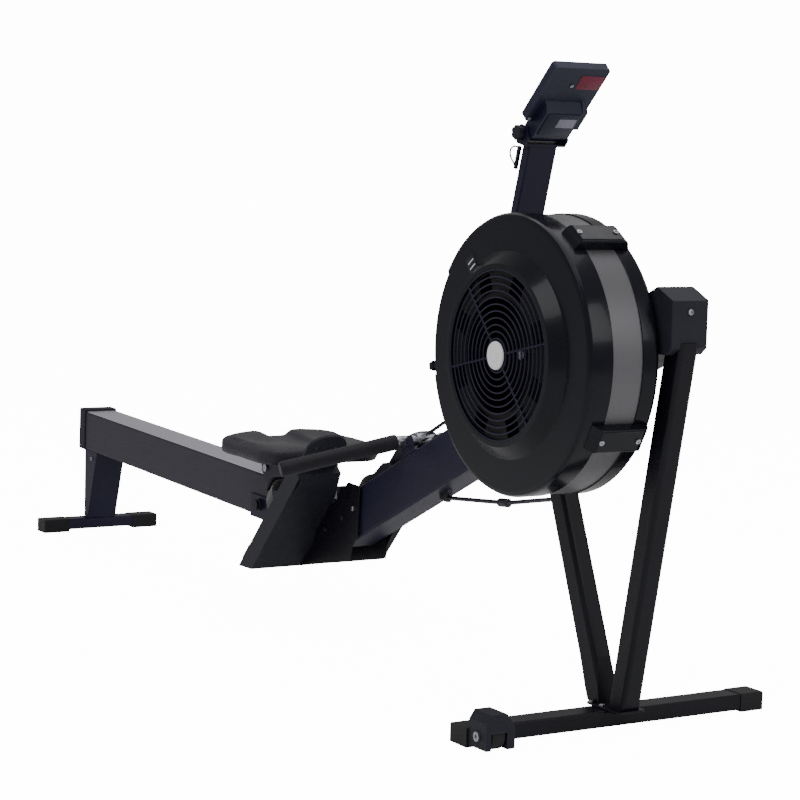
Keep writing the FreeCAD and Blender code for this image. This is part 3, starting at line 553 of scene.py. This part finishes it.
def foldWay(outer, inner, side):
    # level direction at right angles to a fold line, towards the set-in part
    return Vector((outer[1] - inner[1], -side * (outer[0] - inner[0]), 0)).normalized()


def foldUnderside(piece):
    # a diagonal step across the underside of a footboard; its upper inner part is set in
    side = -1 if piece.data.vertices[0].co.y < 0 else 1
    turn = onBoard.to_3x3()
    for outer, inner in (boardFold["upper"], boardFold["lower"]):
        across = foldWay(outer, inner, side)
        editAll(piece)
        bpy.ops.mesh.bisect(plane_co=onBoard @ Vector((outer[0], side * outer[1], 0)),
                            plane_no=turn @ across)
        bpy.ops.object.mode_set(mode="OBJECT")
    outer, inner = boardFold["upper"]
    start = Vector((outer[0], side * outer[1], 0))
    across = foldWay(outer, inner, side)
    back = onBoard.inverted()
    for point in piece.data.vertices:
        spot = back @ point.co
        if spot.z < boardFold["skin"] and (spot - start).dot(across) > -0.00001:
            point.co += turn @ Vector((0, 0, boardFold["rise"]))


easedEdges = {
    "main_beam": ("mainBeam", 0.0), "beam_front_cap": ("beamCap", 0.003),
    "leg_front": ("legFront", 0.0), "leg_rear": ("legRear", 0.0),
    "leg_base_plate": ("legBasePlate", 0.001), "leg_stay": ("legStay", 0.0),
    "front_foot_bar": ("footBarFront", 0.0), "foot_end_caps": ("footCaps", 0.0012),
    "wheel_cover": ("wheelHood", 0.0025), "monorail": ("monorail", 0.0),
    "rail_track": ("runningStrip", 0.0004), "rail_end_cap": ("railEndCap", 0.0025),
    "rear_leg": ("rearLeg", 0.001), "rear_foot_bar": ("footBarRear", 0.0),
    "joint_plates": ("jointPlates", 0.0008), "frame_lock_bracket": ("lockSaddle", 0.001),
    "lock_pin": ("lockKnob", 0.0008), "footboard_near": ("footboardNear", 0.003),
    "footboard_far": ("footboardFar", 0.003), "footrest_bridge": ("heelBridge", 0.002),
    "toe_plate_near": ("toePlateNear", 0.001), "toe_plate_far": ("toePlateFar", 0.001),
    "chain_guide": ("chainGuide", 0.001), "handle_hook": ("handleHook", 0.0008),
    "shell_near": ("cageShellNear", 0.0012), "shell_far": ("cageShellFar", 0.002),
    "shell_clips": ("cageClips", 0.0025), "arm_yoke": ("armYoke", 0.0008),
    "monitor_arm": ("monitorArm", 0.0), "monitor_bracket": ("monitorBracket", 0.0008),
    "monitor_knob": ("tiltKnob", 0.0012), "monitor_bezel": ("monitorBezel", 0.0015),
    "seat_carriage": ("seatCarriage", 0.0006), "frame_bolts": ("frameBolts", 0.0),
    "handle_bar": ("handleBar", 0.0), "handle_swivel": ("handleSwivel", 0.0008),
    "transport_wheel": ("castorWheel", 0.0015), "damper_ring": ("damperRing", 0.0006),
}
pieces = {}
for node, (name, width) in easedEdges.items():
    fold = foldUnderside if node.startswith("footboard") else None
    pieces[name] = softCopy(node, name, finishes[nodeSlot[node]], width, reshape=fold)
# the damper ring takes the near-black fan paint: painted shade of the inside of the cage
pieces["damperRing"].data.materials[0] = finishes["fan_grey"]
pieces["legStay"].data.materials[0] = finishes["chain_steel"]
darkBolts = pieces["frameBolts"]
darkBolts.data.materials.append(finishes["plastic_black"])
for face in darkBolts.data.polygons:
    if 0.06 < face.center.x < 0.17:
        face.material_index = 1
print("eased copies:", len(pieces))


# Fan cage: grille rings, badge and band

cage = {
    "ringSpacing": 0.0112, "firstRing": 0.028, "rings": 11, "wire": 0.00145,
    "wireY": -0.1975, "spokes": (12.8, 131.0, 192.8, 311.0),
}


def makeGrille():
    cx, cz = places["axle"]
    parts = []
    for index in range(cage["rings"]):
        deselectAll()
        bpy.ops.mesh.primitive_torus_add(
            major_radius=cage["firstRing"] + index * cage["ringSpacing"],
            minor_radius=cage["wire"], major_segments=96, minor_segments=10,
            location=(cx, cage["wireY"], cz), rotation=(math.pi / 2, 0, 0))
        parts.append(bpy.context.object)
    for degrees in cage["spokes"]:
        angle = math.radians(degrees)
        way = Vector((math.cos(angle), 0, math.sin(angle)))
        centre = Vector((cx, cage["wireY"] + 0.0018, cz))
        parts.append(newRod(0.0021, centre + way * 0.02, centre + way * 0.1405, 12))
    hub = lathe([(0.2, -199.2), (22, -199.2), (24.5, -198.2), (24.5, -196), (0.2, -196)],
                places["axle"], 64)
    parts.append(hub)
    piece = joinPieces(parts)
    bpy.ops.object.transform_apply(location=True, rotation=True, scale=True)
    smooth(piece, 40)
    return settle(piece, "grilleRings", finishes["frame_black"], "frame", "frame_black", "grille")


def makeBadge():
    # white cap with a plain raised ring, in place of any mark
    piece = lathe([(0.1, -202.0), (8, -202.0), (8.8, -202.5), (10.2, -202.5), (11, -202.0),
                   (21.3, -202.0), (22.8, -201.4), (23.4, -200.4), (23.5, -199.0), (0.1, -199.0)],
                  places["axle"], 72)
    smooth(piece, 30)
    return settle(piece, "hubCap", finishes["badge_white"], "frame", "badge_white", "hub_badge")


def makeBand():
    # the lathe's outline already has an empty layer of this name, so the new one gets another
    cx, cz = places["axle"]
    piece = lathe([(228.4, -133.0), (230.2, -133.0), (230.6, -131.5), (231.2, -131.5),
                   (230.9, -134.0), (230.9, -74.0), (231.2, -76.5), (230.6, -76.5),
                   (230.2, -75.0), (228.4, -75.0)], places["axle"], 160)
    layer = piece.data.uv_layers.new(name="UVMap")
    for face in piece.data.polygons:
        middle = math.atan2(face.center.z - cz, face.center.x - cx)
        for loop in face.loop_indices:
            spot = piece.data.vertices[piece.data.loops[loop].vertex_index].co
            angle = math.atan2(spot.z - cz, spot.x - cx)
            if angle - middle > math.pi:
                angle -= math.tau
            if middle - angle > math.pi:
                angle += math.tau
            layer.data[loop].uv = (angle * 0.23, spot.y)
    smooth(piece, 30)
    return settle(piece, "perforatedBand", finishes["band_metal"], "frame", "band_metal",
                  "perforated_band")


makeGrille()
makeBadge()
makeBand()
print("fan cage done")


# Chain: roller links from the handle to the guide, and on to the sprocket

chain = {"pitch": 0.00635, "plate": 0.0008, "height": 0.0056, "width": 0.0046, "roller": 0.0017}


def makeLink(wide):
    # two eyed side plates and one roller, drawn along +X at the origin
    half = chain["width"] / 2 - (0 if wide else chain["plate"])
    parts = []
    for side in (-1, 1):
        y = side * half
        bar = newCube((-0.0006, y - chain["plate"] / 2, -chain["height"] / 2),
                      (chain["pitch"] + 0.0006, y + chain["plate"] / 2, chain["height"] / 2))
        chooseEdges(bar, lambda a, b: abs(a.y - b.y) > 0.0004)
        bpy.ops.mesh.bevel(offset=0.0019, segments=2)
        bpy.ops.object.mode_set(mode="OBJECT")
        parts.append(bar)
    parts.append(newRod(chain["roller"], (0, -chain["width"] / 2 - 0.0006, 0),
                        (0, chain["width"] / 2 + 0.0006, 0), 10))
    return joinPieces(parts)


def makeChain(start, end, name, node):
    start, end = Vector(start), Vector(end)
    way = (end - start).normalized()
    count = int((end - start).length / chain["pitch"])
    turn = way.to_track_quat("X", "Z").to_matrix().to_4x4()
    links = []
    models = [makeLink(True), makeLink(False)]
    for index in range(count):
        link = copyOf(models[index % 2])
        link.matrix_world = Matrix.Translation(start + way * index * chain["pitch"]) @ turn
        links.append(link)
    for model in models:
        bpy.data.objects.remove(model)
    piece = joinPieces(links)
    bpy.ops.object.transform_apply(location=True, rotation=True, scale=True)
    smooth(piece, 30)
    piece.name = name
    piece.data.name = name
    piece.data.materials.clear()
    piece.data.materials.append(finishes["chain_steel"])
    return piece


runLow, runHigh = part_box("chain_run")
handEnd = Vector((runLow.x - 0.002, 0, runLow.z + 0.0035))
guideEnd = Vector((runHigh.x + 0.004, 0, runHigh.z - 0.0035))
chainRun = makeChain(guideEnd, handEnd, "chainRun", "chain_run")
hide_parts("chain_run")
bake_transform(chainRun)

chainFeed = makeChain(guideEnd, Vector((0.905, 0, 0.6315)), "chainFeed", "chain_feed")
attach(chainFeed, "frame")
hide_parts("chain_feed")
print("chain done")


# Handle grips

grip = {"barHalf": 0.045, "start": 0.003, "length": 0.229, "radius": 0.015,
        "barCentre": Vector((0.360, 0, 0.401)), "end": Vector((0.301, 0.250, 0.352))}


def makeGrip(side):
    # foam sleeve with a slight waist and an eased lip at each end
    start = grip["barCentre"] + Vector((0, side * grip["barHalf"], 0))
    end = Vector((grip["end"].x, side * grip["end"].y, grip["end"].z))
    way = (end - start).normalized()
    inner = start + way * grip["start"]
    radius = grip["radius"] * 1000
    length = grip["length"] * 1000
    profile = [(11.05, 0), (13.2, 0), (14.6, 1.4), (14.95, 4.5)]
    for step in range(1, 12):
        along = length * step / 12
        profile.append((radius - 0.5 * math.sin(math.pi * step / 12), along))
    profile += [(14.95, length - 4.5), (14.3, length - 1.4), (12.8, length), (0.1, length),
                (0.1, length - 10), (11.05, length - 10)]
    piece = lathe(profile, (0, 0), 40)
    turn = way.to_track_quat("Y", "Z").to_matrix().to_4x4()
    place(piece, Matrix.Translation(inner) @ turn)
    smooth(piece, 40)
    return piece


grips = joinPieces([makeGrip(-1), makeGrip(1)])
settle(grips, "handleGrips", finishes["grip_foam"], "handle", "grip_foam", "handle_grips")
print("grips done")


# Seat

seat = {"cap": 0.004, "voxel": 0.005, "frames": 20, "pressure": 3.0}


def makeSeatPad():
    # foam pad under a vinyl skin: a voxel copy of the pad blown up by cloth pressure, to a cap
    piece = copyOf(frame["nodes"]["seat_pad"])
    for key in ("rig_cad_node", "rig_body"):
        del piece[key]
    piece.parent = None
    piece.matrix_world = Matrix.Identity(4)
    editAll(piece)
    bpy.ops.mesh.remove_doubles(threshold=0.00002)
    bpy.ops.object.mode_set(mode="OBJECT")
    addModifier(piece, "REMESH", mode="VOXEL", voxel_size=seat["voxel"])
    addModifier(piece, "SMOOTH", factor=0.5, iterations=14)
    low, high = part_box("seat_pad")
    middle = (low + high) / 2
    for point in piece.data.vertices:
        # hollows under each sit bone and a raised rear edge
        u = (point.co.x - middle.x) / ((high.x - low.x) / 2)
        v = abs(point.co.y) / 0.144
        if point.co.z > middle.z:
            dip = math.exp(-((u + 0.15) / 0.45) ** 2 - ((v - 0.5) / 0.3) ** 2)
            point.co.z -= 0.007 * dip
            point.co.z += 0.004 * max(0.0, -u - 0.4)
    before = [point.co.copy() for point in piece.data.vertices]
    pick(piece)
    cloth = piece.modifiers.new("Cloth", "CLOTH")
    cloth.settings.use_pressure = True
    cloth.settings.uniform_pressure_force = seat["pressure"]
    cloth.settings.effector_weights.gravity = 0
    cloth.settings.quality = 5
    cloth.point_cache.frame_end = seat["frames"]
    for step in range(1, seat["frames"] + 1):
        bpy.context.scene.frame_set(step)
    bpy.ops.object.modifier_apply(modifier=cloth.name)
    bpy.context.scene.frame_set(1)
    for point, start in zip(piece.data.vertices, before):
        move = point.co - start
        if move.length > seat["cap"]:
            point.co = start + move.normalized() * seat["cap"]
    floorLine = onRail @ Vector((1.0278, 0, 0.0502))
    normal = (onRail.to_3x3() @ Vector((0, 0, 1))).normalized()
    for point in piece.data.vertices:
        # the underside stays flat on the carriage
        under = (point.co - floorLine).dot(normal)
        if under < 0.0005:
            point.co += normal * (0.0005 - under)
    addModifier(piece, "SUBSURF", levels=1, render_levels=1)
    pick(piece)
    bpy.ops.object.shade_smooth()
    settle(piece, "seatPad", finishes["seat_vinyl"], "seat", "seat_vinyl", "seat_pad")
    return piece


makeSeatPad()
print("seat done")


# Foot straps

strap = {"along": (0.178, 0.212), "thick": 0.0022, "near": 0.049, "far": 0.1535,
         "rise": 0.050, "middle": 0.105}


def makeStrap(side):
    # a band of webbing arched over the foot, with a buckle near its top
    half = 0.028
    line = [(strap["near"], -0.012), (strap["near"] + 0.001, 0.014), (strap["near"] + 0.010, 0.034),
            (strap["middle"] - half, strap["rise"] - 0.002), (strap["middle"], strap["rise"]),
            (strap["middle"] + half, strap["rise"] - 0.002), (strap["far"] - 0.010, 0.034),
            (strap["far"] - 0.001, 0.014), (strap["far"], -0.010)]
    x0, x1 = strap["along"]
    piece = drawLine([(x0, side * y, z) for y, z in line])
    bpy.ops.mesh.select_all(action="SELECT")
    bpy.ops.mesh.extrude_region_move(TRANSFORM_OT_translate={"value": (x1 - x0, 0, 0)})
    bpy.ops.object.mode_set(mode="OBJECT")
    addModifier(piece, "SUBSURF", levels=2, render_levels=2)
    addModifier(piece, "SOLIDIFY", thickness=strap["thick"], offset=0)
    place(piece, onBoard)
    finishMesh(piece)
    smooth(piece, 40)
    return piece


def makeBuckle(side):
    # moulded ladder-lock buckle: an outer frame, a bar and a thumb lip
    x0, x1 = strap["along"]
    y = side * (strap["middle"] + 0.018)
    z = strap["rise"] + 0.0015
    body = newCube((x0 - 0.004, y - 0.014, z), (x1 + 0.004, y + 0.014, z + 0.005))
    chooseFaces(body, lambda face: abs(face.normal.z) > 0.9)
    bpy.ops.mesh.inset(thickness=0.004)
    bpy.ops.mesh.extrude_region_move(TRANSFORM_OT_translate={"value": (0, 0, 0)})
    bpy.ops.transform.resize(value=(1, 1, 0.45))
    bpy.ops.object.mode_set(mode="OBJECT")
    bar = newRod(0.0022, (x0, y, z + 0.003), (x1, y, z + 0.003), 12)
    lip = newCube((x0 + 0.004, y + side * 0.012 - 0.003, z + 0.003),
                  (x1 - 0.004, y + side * 0.012 + 0.003, z + 0.009))
    piece = joinPieces([body, bar, lip])
    softEdges(piece, 0.0009)
    place(piece, onBoard)
    return piece


straps = joinPieces([makeStrap(-1), makeStrap(1)])
settle(straps, "footStraps", finishes["strap_web"], "frame", "strap_web", "foot_straps")
buckles = joinPieces([makeBuckle(-1), makeBuckle(1)])
settle(buckles, "strapBuckles", finishes["plastic_black"], "frame", "plastic_black")
print("straps done")


# Monitor: housing, battery door, display and the wire hook on its arm

def makeCase():
    softCopy("monitor_case", "monitorCase", finishes["case_plastic"], 0.002)


def makeBackDetails():
    # battery door with a finger notch, two screws, a plain red patch and a plain grey one
    door = newCube((0.020, -0.032, -0.0262), (0.070, 0.034, -0.0235))
    softEdges(door, 0.0012)
    notch = newCube((0.062, -0.008, -0.0272), (0.066, 0.008, -0.0255))
    softEdges(notch, 0.0006)
    doorPiece = joinPieces([door, notch])
    place(doorPiece, onScreen)
    settle(doorPiece, "batteryDoor", finishes["case_plastic"], "monitor", "case_plastic")
    screws = []
    for x, y in ((0.120, -0.004), (0.040, -0.050)):
        head = newRod(0.0032, (x, y, -0.0062), (x, y, -0.0078), 20)
        chooseFaces(head, lambda face: abs(face.normal.z) > 0.9 and face.center.z < -0.0075)
        bpy.ops.mesh.inset(thickness=0.0016)
        bpy.ops.mesh.extrude_region_move(TRANSFORM_OT_translate={"value": (0, 0, 0.0009)})
        bpy.ops.object.mode_set(mode="OBJECT")
        screws.append(head)
    screwPiece = joinPieces(screws)
    smooth(screwPiece, 30)
    place(screwPiece, onScreen)
    settle(screwPiece, "caseScrews", finishes["steel_plain"], "monitor", "steel_plain")
    patch = newCube((0.1125, 0.006, -0.0068), (0.1435, 0.0555, -0.0058))
    softEdges(patch, 0.0004)
    place(patch, onScreen)
    settle(patch, "redPatch", labelRed, "monitor", "case_plastic")
    tag = newCube((0.040, -0.006, -0.0268), (0.060, 0.030, -0.0260))
    softEdges(tag, 0.0003)
    place(tag, onScreen)
    settle(tag, "greyPatch", labelGrey, "monitor", "case_plastic")


def makeDisplay():
    # clear window, dark segments of a plain four-figure reading and lines under it
    glass = newCube((0.0805, -0.0455, 0.0075), (0.1515, 0.0455, 0.0092))
    softEdges(glass, 0.0004)
    place(glass, onScreen)
    settle(glass, "displayWindow", finishes["screen_glass"], "monitor", "screen_glass",
           "monitor_screen")
    bars = []
    shapes = {"0": "abcdef", "1": "bc", "2": "abged", "3": "abgcd"}
    for index, figure in enumerate("0230"):
        y = 0.030 - index * 0.019
        spots = {"a": (0.142, y, 0), "g": (0.132, y, 0), "d": (0.122, y, 0),
                 "f": (0.137, y + 0.0055, 1), "b": (0.137, y - 0.0055, 1),
                 "e": (0.127, y + 0.0055, 1), "c": (0.127, y - 0.0055, 1)}
        for letter in shapes[figure]:
            x, sideways, upright = spots[letter]
            long, thin = 0.0042, 0.0009
            dx, dy = (long, thin) if upright else (thin, long)
            bars.append(newCube((x - dx, sideways - dy, 0.0091), (x + dx, sideways + dy, 0.0094)))
    for row in range(3):
        x = 0.108 - row * 0.009
        bars.append(newCube((x - 0.0006, -0.038, 0.0091), (x + 0.0006, 0.038, 0.0093)))
    ink = joinPieces(bars)
    softEdges(ink, 0.00008, 1)
    place(ink, onScreen)
    settle(ink, "displayFigures", segmentInk, "monitor", "screen_glass")


def makeArmHook():
    # sprung wire hook on the arm's rear edge
    line = [(-0.018, -0.031, 0.402), (-0.028, -0.031, 0.4015), (-0.038, -0.031, 0.397),
            (-0.042, -0.031, 0.390), (-0.040, -0.031, 0.382), (-0.032, -0.031, 0.376),
            (-0.022, -0.031, 0.371), (-0.016, -0.031, 0.367)]
    hook = newTube(line, 0.0016, 12)
    tab = newCube((-0.0195, -0.034, 0.364), (-0.0125, -0.028, 0.405))
    softEdges(tab, 0.0012)
    piece = joinPieces([hook, tab])
    place(piece, onArm)
    settle(piece, "armHook", finishes["frame_black"], "arm", "frame_black")


makeCase()
makeBackDetails()
makeDisplay()
makeArmHook()
print("monitor done")


# Damper window: a thin dark plate with two plain lines on the front of the cage

def makeWindow():
    cx, cz = places["axle"]
    turn = Matrix.Translation((cx, 0, cz)) @ Matrix.Rotation(-math.radians(128), 4, "Y")
    window = newCube((0.168, -0.1792, -0.013), (0.196, -0.1775, 0.013))
    softEdges(window, 0.0008)
    place(window, turn)
    settle(window, "damperWindow", finishes["plastic_black"], "frame", "cage_gloss")
    marks = []
    for along in (0.175, 0.185):
        mark = newCube((along, -0.1797, -0.009), (along + 0.0022, -0.1790, 0.009))
        marks.append(place(mark, turn))
    piece = joinPieces(marks)
    settle(piece, "damperMarks", scaleWhite, "frame", "cage_gloss")


makeWindow()
print("damper window done")


# Camera, floor and light

view = {"place": (3.9942, -2.2423, 0.9333), "yaw": 31.17, "pitch": 6.098, "roll": 1.614,
        "lens": 102.28, "glow": 14.0, "sky": 0.42, "skySeen": 14.42}
lights = {
    "keySoftbox": ((1.5, -3.0, 3.6), (3.0, 2.0), 62),
    "topSoftbox": ((0.5, 0.5, 4.0), (5.0, 3.0), 75),
    "sideSoftbox": ((4.5, 1.5, 2.5), (2.0, 2.0), 42),
}


def addCamera():
    yaw, pitch, roll = (math.radians(view[key]) for key in ("yaw", "pitch", "roll"))
    forward = Vector((-math.cos(yaw) * math.cos(pitch), math.sin(yaw) * math.cos(pitch),
                      -math.sin(pitch)))
    right = forward.cross(Vector((0, 0, 1))).normalized()
    up = right.cross(forward)
    across = right * math.cos(roll) + up * math.sin(roll)
    above = up * math.cos(roll) - right * math.sin(roll)
    camera = bpy.data.cameras.new("camera")
    camera.sensor_width = 36
    camera.lens = view["lens"]
    camera.clip_end = 60
    holder = bpy.data.objects.new("camera", camera)
    bpy.context.scene.collection.objects.link(holder)
    matrix = Matrix((across, above, -forward)).transposed().to_4x4()
    matrix.translation = view["place"]
    holder.matrix_world = matrix
    bpy.context.scene.camera = holder


def addLight(name, spot, size, power, target=(0.2, 0, 0.4)):
    lamp = bpy.data.lights.new(name, "AREA")
    lamp.shape = "RECTANGLE"
    lamp.size, lamp.size_y = size
    lamp.energy = power
    holder = bpy.data.objects.new(name, lamp)
    bpy.context.scene.collection.objects.link(holder)
    holder.location = spot
    holder.rotation_euler = (Vector(target) - Vector(spot)).to_track_quat("-Z", "Y").to_euler()


def addFloor():
    deselectAll()
    bpy.ops.mesh.primitive_plane_add(size=60, location=(0, 0, 0))
    floor = bpy.context.object
    floor.name = "studioFloor"
    material, tree, shader, where = startMaterial("pale floor")
    cloudyColour(tree, shader, where, 0.6, ("#F6F6F6", "#F9F9F9"), (0.85, 0.95))
    floor.data.materials.append(material)
    # brighter to the eye than as a light, so the dark paint isn't washed out
    ray = addNode(tree, "ShaderNodeLightPath")
    addNode(tree, "ShaderNodeMath", {"operation": "MULTIPLY", 1: view["glow"]},
            {0: ray.outputs["Is Camera Ray"]}, [shader.inputs["Emission Strength"]])
    shader.inputs["Emission Color"].default_value = (1, 1, 1, 1)


def addSky():
    world = bpy.data.worlds.new("studio")
    world.use_nodes = True
    tree = world.node_tree
    tree.nodes.clear()
    glow = addNode(tree, "ShaderNodeBackground", {"Color": (1, 1, 1, 1), "Strength": 1.0})
    ray = addNode(tree, "ShaderNodeLightPath")
    addNode(tree, "ShaderNodeMapRange", {"To Min": view["sky"], "To Max": view["skySeen"]},
            {"Value": ray.outputs["Is Camera Ray"]}, [glow.inputs["Strength"]])
    output = addNode(tree, "ShaderNodeOutputWorld")
    tree.links.new(glow.outputs["Background"], output.inputs["Surface"])
    bpy.context.scene.world = world


addCamera()
addFloor()
addSky()
for name, (spot, size, power) in lights.items():
    addLight(name, spot, size, power)
print("camera and light done")

deselectAll()
